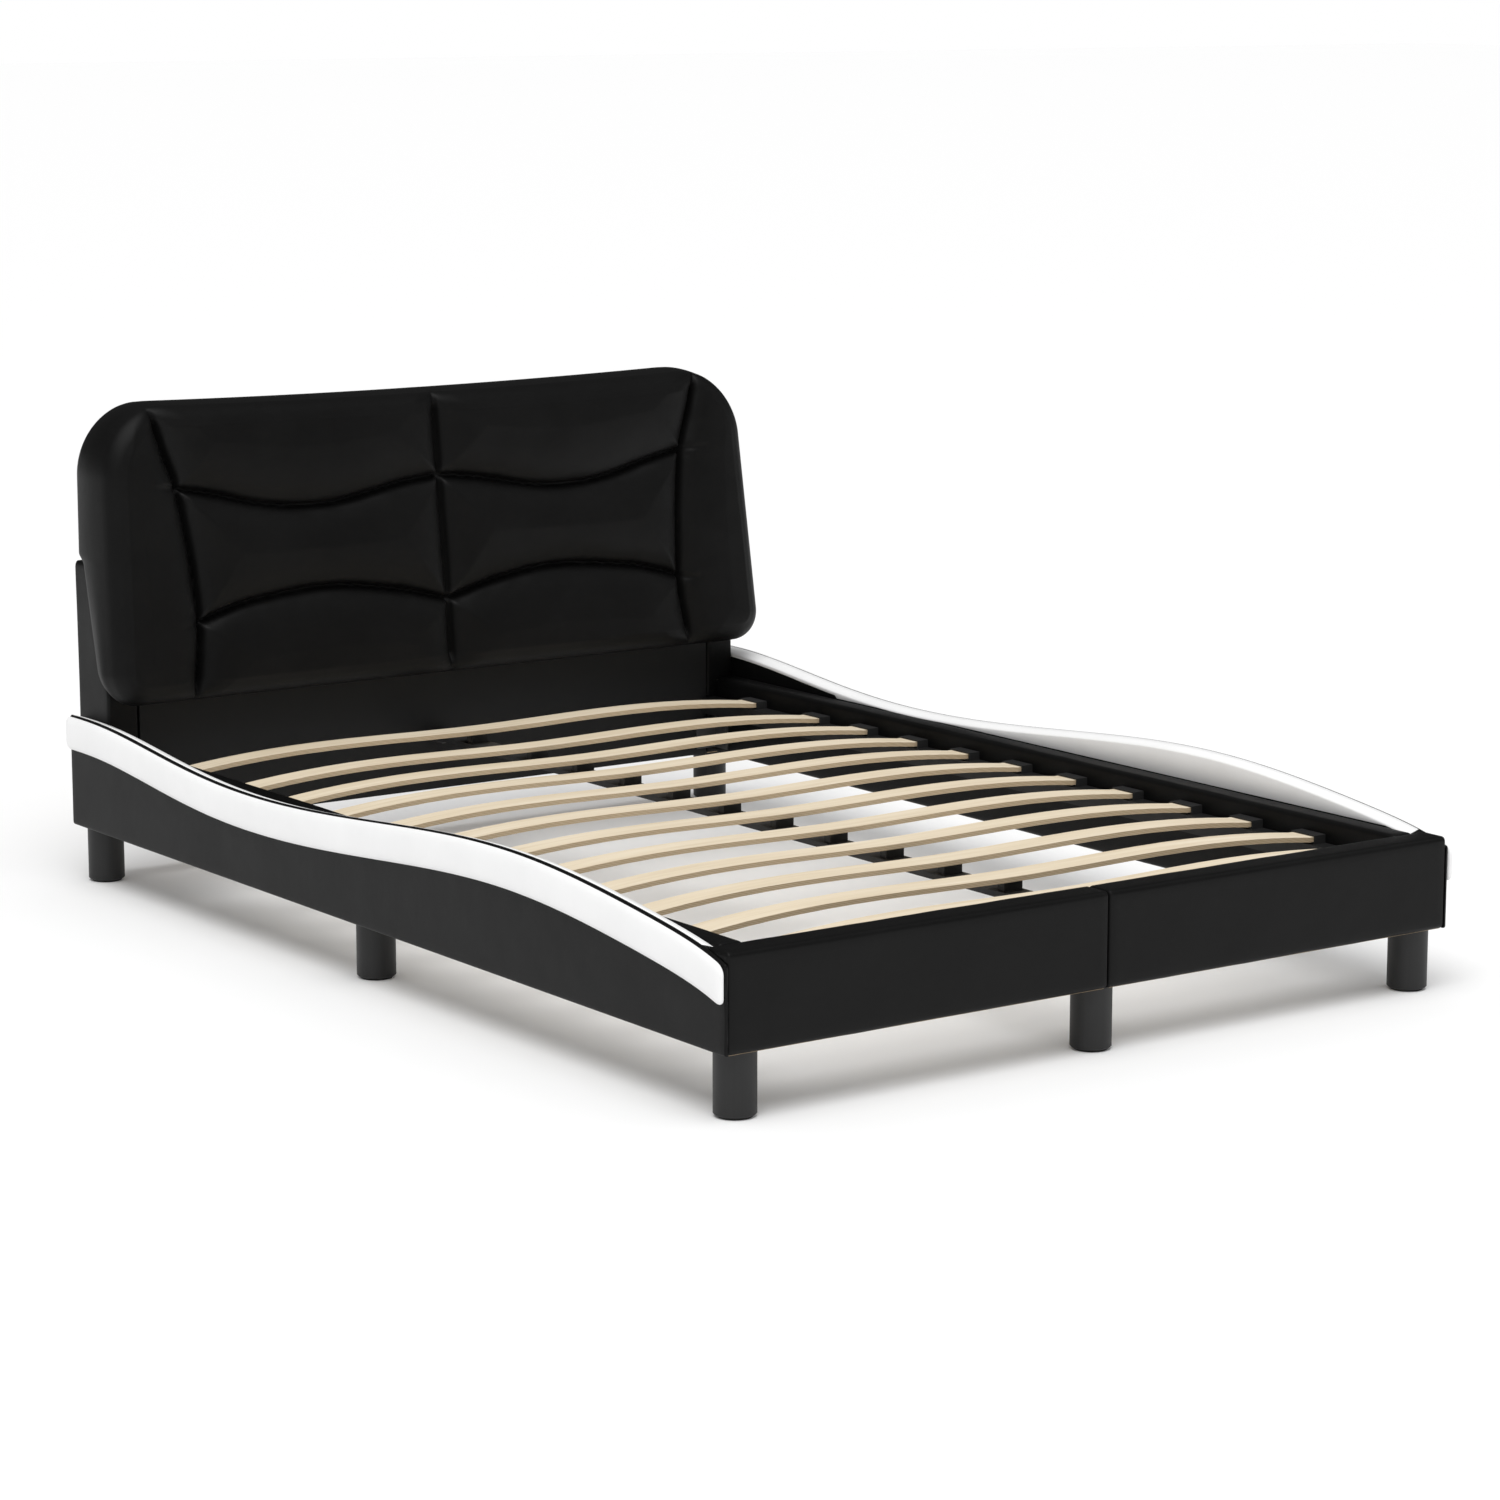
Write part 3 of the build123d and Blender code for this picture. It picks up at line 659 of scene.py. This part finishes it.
nx, nz = 430, 176
across_places = dense(nx, 0.35)
up_places = dense(nz, 0.75)
grid_x = np.zeros((nz, nx))
grid_z = np.zeros((nz, nx))
for row, z in enumerate(rest_z0 + up_places * rest_tall):
    grid_x[row] = (2 * across_places - 1) * half_width(z)
    grid_z[row] = z
inset = edge_distance(grid_x, grid_z)


def front_plane(z):
    return rest_low[1] + front_lean * (z - rest_z0) / rest_tall


def back_plane(z):
    """The back stands in front of the post, steps over its top and leans on."""
    knee = base_front - 0.002
    over_post = rest_points[(rest_points[:, 2] > post_top_z) & (rest_points[:, 2] < post_top_z + 0.02)][:, 1]
    return np.interp(z, [rest_z0, rest_z0 + 0.015, post_top_z + 0.002, post_top_z + 0.016, rest_z1],
                     [knee, knee, over_post.min() - 0.004, over_post.max(), rest_high[1]])


def noise_at(first, second, third):
    return noise.noise(Vector((first, second, third)))


noise_over = np.vectorize(noise_at)

seam_gaps = [nearest(np.abs(grid_x), grid_z, line) for line, start, strength in seams]
gap_all = np.minimum.reduce([gap for gap, along in seam_gaps])

# fullness of each sewn field: soft pillows between seams and the outer edge
pillow_height = 0.022
pillow_reach = 0.040
full = 1 - np.exp(-np.minimum(gap_all, inset + 0.030) / pillow_reach)
crown = pillow_height * full
# each seam is a narrow stitched line in a wider hollow
groove = 0.018 * np.exp(-(gap_all / 0.0036) ** 1.4) + 0.010 * np.exp(-gap_all / 0.018)

# uneven puckers along both sides of each seam
pucker_height = 0.0010
pull = np.zeros_like(crown)
for (gap, along), (line, start, strength) in zip(seam_gaps, seams):
    near = np.exp(-((gap - 0.012) / 0.018) ** 2)
    ripple = noise_over((along + start + np.sign(grid_x) * 2.3) * 30.0, gap * 10 * 6.0, 11.0)
    pull += near * ripple * pucker_height * strength

# short puckers where the cross seams meet the wing and centre seams
junction_pucker = 0.0008
for joint_x, joint_z in ((0.541, 0.703), (0.518, 0.465), (0.0, 0.693), (0.0, 0.465)):
    for side in (-1, 1):
        dx = grid_x - side * joint_x
        dz = grid_z - joint_z
        turn = np.arctan2(dz, dx)
        star = np.cos(turn * 5 + 0.7 * side + joint_z * 9)
        pull += junction_pucker * np.exp(-(np.hypot(dx, dz) / 0.034) ** 2) * star

# the pleat that runs a little way into the wing from each cross seam
pleat_depth = 0.0040
pleat_lip = 0.0012
for start_x, start_z, slope, reach in ((0.541, 0.703, 0.10, 0.060), (0.518, 0.463, -0.04, 0.045)):
    for side in (-1, 1):
        out = (grid_x * side) - start_x
        drop = grid_z - (start_z + slope * out)
        fade = np.clip(1 - out / reach, 0, 1) * (out > -0.002)
        pull -= pleat_depth * fade * np.exp(-(drop / 0.0038) ** 2)
        pull += pleat_lip * fade * np.exp(-((drop - 0.011) / 0.008) ** 2)


def rounded_drop(radius):
    """How far a face falls away in the rounding at the outline."""
    into = np.clip(radius - inset, 0, radius)
    return radius - np.sqrt(np.maximum(0, radius ** 2 - into ** 2))


front_round = 0.024
back_round = 0.018
calm = np.clip(inset / 0.035, 0, 1)
edge_share = 0.35 + 0.65 * calm
slow = noise_over(grid_x * 5.0, grid_z * 6.5, 2.0)
fine = noise_over(grid_x * 16.0, grid_z * 19.0, 7.0)
height = crown - groove * edge_share + (pull + slow * 0.0035 + fine * 0.0010) * calm
front_y = front_plane(grid_z) + 0.006 + rounded_drop(front_round) - height * edge_share

# the back stays clear of the plywood board let into it, and never meets the front
board_low, board_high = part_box("cushion_back_board")
board_recess = 0.013
least_thickness = 0.012
over_board = ((grid_x > board_low[0] - 0.002) & (grid_x < board_high[0] + 0.002)
              & (grid_z > board_low[2] - 0.002) & (grid_z < board_high[2] + 0.002))
back_y = back_plane(grid_z) - rounded_drop(back_round) - 0.001
back_y = np.where(over_board, back_y - board_recess, back_y)
back_y = np.maximum(back_y, front_y + least_thickness)


def number(layer, row, col):
    return layer * nx * nz + row * nx + col


front_points = np.stack([grid_x, front_y, grid_z], -1).reshape(-1, 3)
back_points = np.stack([grid_x, back_y, grid_z], -1).reshape(-1, 3)
rest_mesh_points = list(front_points) + list(back_points)
rest_faces = []
for row in range(nz - 1):
    for col in range(nx - 1):
        for layer in (0, 1):
            quad = (number(layer, row, col), number(layer, row, col + 1),
                    number(layer, row + 1, col + 1), number(layer, row + 1, col))
            rest_faces.append(quad if layer == 0 else quad[::-1])

# the side wall between the two faces, with a slight swell
wall_rings = 7
wall_swell = 0.0035
loop = [(0, c) for c in range(nx)] + [(r, nx - 1) for r in range(1, nz)]
loop += [(nz - 1, c) for c in range(nx - 2, -1, -1)] + [(r, 0) for r in range(nz - 2, 0, -1)]
loop_points = np.array([(grid_x[r, c], grid_z[r, c]) for r, c in loop])
tangent = np.roll(loop_points, -3, axis=0) - np.roll(loop_points, 3, axis=0)
outward = np.stack([tangent[:, 1], -tangent[:, 0]], -1)
outward /= np.maximum(1e-9, np.linalg.norm(outward, axis=1))[:, None]
layers = [[number(0, r, c) for r, c in loop]]
for ring in range(1, wall_rings):
    t = ring / wall_rings
    swell = wall_swell * math.sin(math.pi * t)
    ids = []
    for n, (r, c) in enumerate(loop):
        ids.append(len(rest_mesh_points))
        rest_mesh_points.append((grid_x[r, c] + outward[n, 0] * swell,
                                 front_y[r, c] * (1 - t) + back_y[r, c] * t,
                                 grid_z[r, c] + outward[n, 1] * swell))
    layers.append(ids)
layers.append([number(1, r, c) for r, c in loop])
for a_ring, b_ring in zip(layers[:-1], layers[1:]):
    for i in range(len(loop)):
        j = (i + 1) % len(loop)
        rest_faces.append((a_ring[i], b_ring[i], b_ring[j], a_ring[j]))

# the upper edge sags a little in the middle and lifts at both ends
rest_mesh_points = np.array(rest_mesh_points)
raised = np.clip((rest_mesh_points[:, 2] - rest_z0) / rest_tall, 0, 1) ** 3
from_middle = np.clip(np.abs(rest_mesh_points[:, 0]) / 0.5, 0, 1.2)
rest_mesh_points[:, 2] += raised * (-0.0050 + 0.0060 * from_middle ** 2)
headrest = finish_mesh("headrest", rest_mesh_points, rest_faces, black_leather)
stand_for(headrest, "headboard_cushion")


# ---------------------------------------------------------------- carried-over pieces

def soften(obj, width):
    """Slightly rounded edges, and only where an edge is sharp."""
    bevel = obj.modifiers.new("edge", "BEVEL")
    bevel.width = width
    bevel.segments = 2
    bevel.limit_method = "ANGLE"
    bevel.angle_limit = math.radians(35)
    bevel.harden_normals = False


def look(prefixes, mat, bevel=0.0):
    """Material and edge rounding for each CAD node whose name starts with one of the prefixes."""
    for name, obj in nodes.items():
        if not name.startswith(tuple(prefixes)):
            continue
        if len(obj.material_slots) == 0:
            obj.data.materials.append(mat)
        for slot in obj.material_slots:
            slot.material = mat
        if bevel:
            soften(obj, bevel)


look(["slat_0", "slat_1"], slat_birch, 0.0012)
look(["slat_end_caps", "slat_beam_holders", "leg_glides"], black_plastic, 0.0008)
look(["slat_ledge"], ledge_stain, 0.0015)
look(["leg_foot", "leg_head", "leg_middle"], leg_satin)
look(["centre_beam"], beam_paint, 0.0015)
look(["footboard_core", "rail_core", "side_panel_core", "headboard_post_core", "headboard_panel_core",
      "headboard_back_rail", "cushion_back_board"], board_ply)
look(["headboard_panel_cover"], black_leather)
look(["headboard_back_cloth"], cloth_black)
look(["beam_bracket", "corner_plate", "footboard_joining", "footboard_plate", "headrest_straps"], steel_paint,
     0.0004)


# ---------------------------------------------------------------- studio

floor_mesh = bpy.data.meshes.new("floor")
reach = 60.0
floor_corners = [(-reach, -reach, 0), (reach, -reach, 0), (reach, reach, 0), (-reach, reach, 0)]
floor_mesh.from_pydata(floor_corners, [], [(0, 1, 2, 3)])
floor = bpy.data.objects.new("floor", floor_mesh)
bpy.context.scene.collection.objects.link(floor)
floor_mat, tree, shader = material("studio_floor")
shader.inputs["Base Color"].default_value = (0.93, 0.93, 0.93, 1)
shader.inputs["Roughness"].default_value = 0.9
shader.inputs["Specular IOR Level"].default_value = 0.1
floor_mesh.materials.append(floor_mat)

world = bpy.data.worlds.new("studio")
bpy.context.scene.world = world
world.use_nodes = True
room = world.node_tree
backdrop = room.nodes["Background"]
backdrop.inputs["Color"].default_value = (1, 1, 1, 1)
paths = room.nodes.new("ShaderNodeLightPath")
# the room lights the bed, is nearly dark in reflections and is white to the camera
light_or_glossy = room.nodes.new("ShaderNodeMix")
light_or_glossy.inputs[2].default_value = 0.62
light_or_glossy.inputs[3].default_value = 0.08
room.links.new(paths.outputs["Is Glossy Ray"], light_or_glossy.inputs[0])
seen_by_camera = room.nodes.new("ShaderNodeMix")
seen_by_camera.inputs[3].default_value = 1.0
room.links.new(paths.outputs["Is Camera Ray"], seen_by_camera.inputs[0])
room.links.new(light_or_glossy.outputs[0], seen_by_camera.inputs[2])
room.links.new(seen_by_camera.outputs[0], backdrop.inputs["Strength"])


def area(name, place, target, width, height, power):
    light = bpy.data.lights.new(name, "AREA")
    light.shape = "RECTANGLE"
    light.size = width
    light.size_y = height
    light.energy = power
    obj = bpy.data.objects.new(name, light)
    obj.location = place
    way = Vector(target) - Vector(place)
    obj.rotation_euler = way.to_track_quat("-Z", "Y").to_euler()
    bpy.context.scene.collection.objects.link(obj)


sun = bpy.data.lights.new("sun", "SUN")
sun.energy = 1.62
sun.angle = math.radians(50)
sun_object = bpy.data.objects.new("sun", sun)
sun_object.rotation_euler = (math.radians(12), math.radians(-14), 0)
bpy.context.scene.collection.objects.link(sun_object)
area("key", (-2.6, -2.6, 4.6), (0, 0.2, 0.3), 3.5, 2.5, 30)
area("fill", (4.2, -2.0, 3.4), (0, 0, 0.3), 3.0, 2.5, 15)

camera_data = bpy.data.cameras.new("camera")
camera = bpy.data.objects.new("camera", camera_data)
bpy.context.scene.collection.objects.link(camera)
azimuth = math.radians(-35.5)
elevation = math.radians(10.5)
distance = 7.203
aim = Vector((0.0788, 0.0129, 0.300))
back = Vector((math.sin(azimuth) * math.cos(elevation), -math.cos(azimuth) * math.cos(elevation),
               math.sin(elevation)))
camera.location = aim + back * distance
camera.rotation_euler = (-back).to_track_quat("-Z", "Y").to_euler()
camera_data.sensor_width = 36.0
camera_data.lens = 101.56
camera_data.dof.use_dof = False
camera_data.clip_end = 200
bpy.context.scene.camera = camera
bpy.context.scene.view_settings.view_transform = "Standard"
bpy.context.scene.view_settings.look = "None"
bpy.context.scene.view_settings.exposure = 0.0
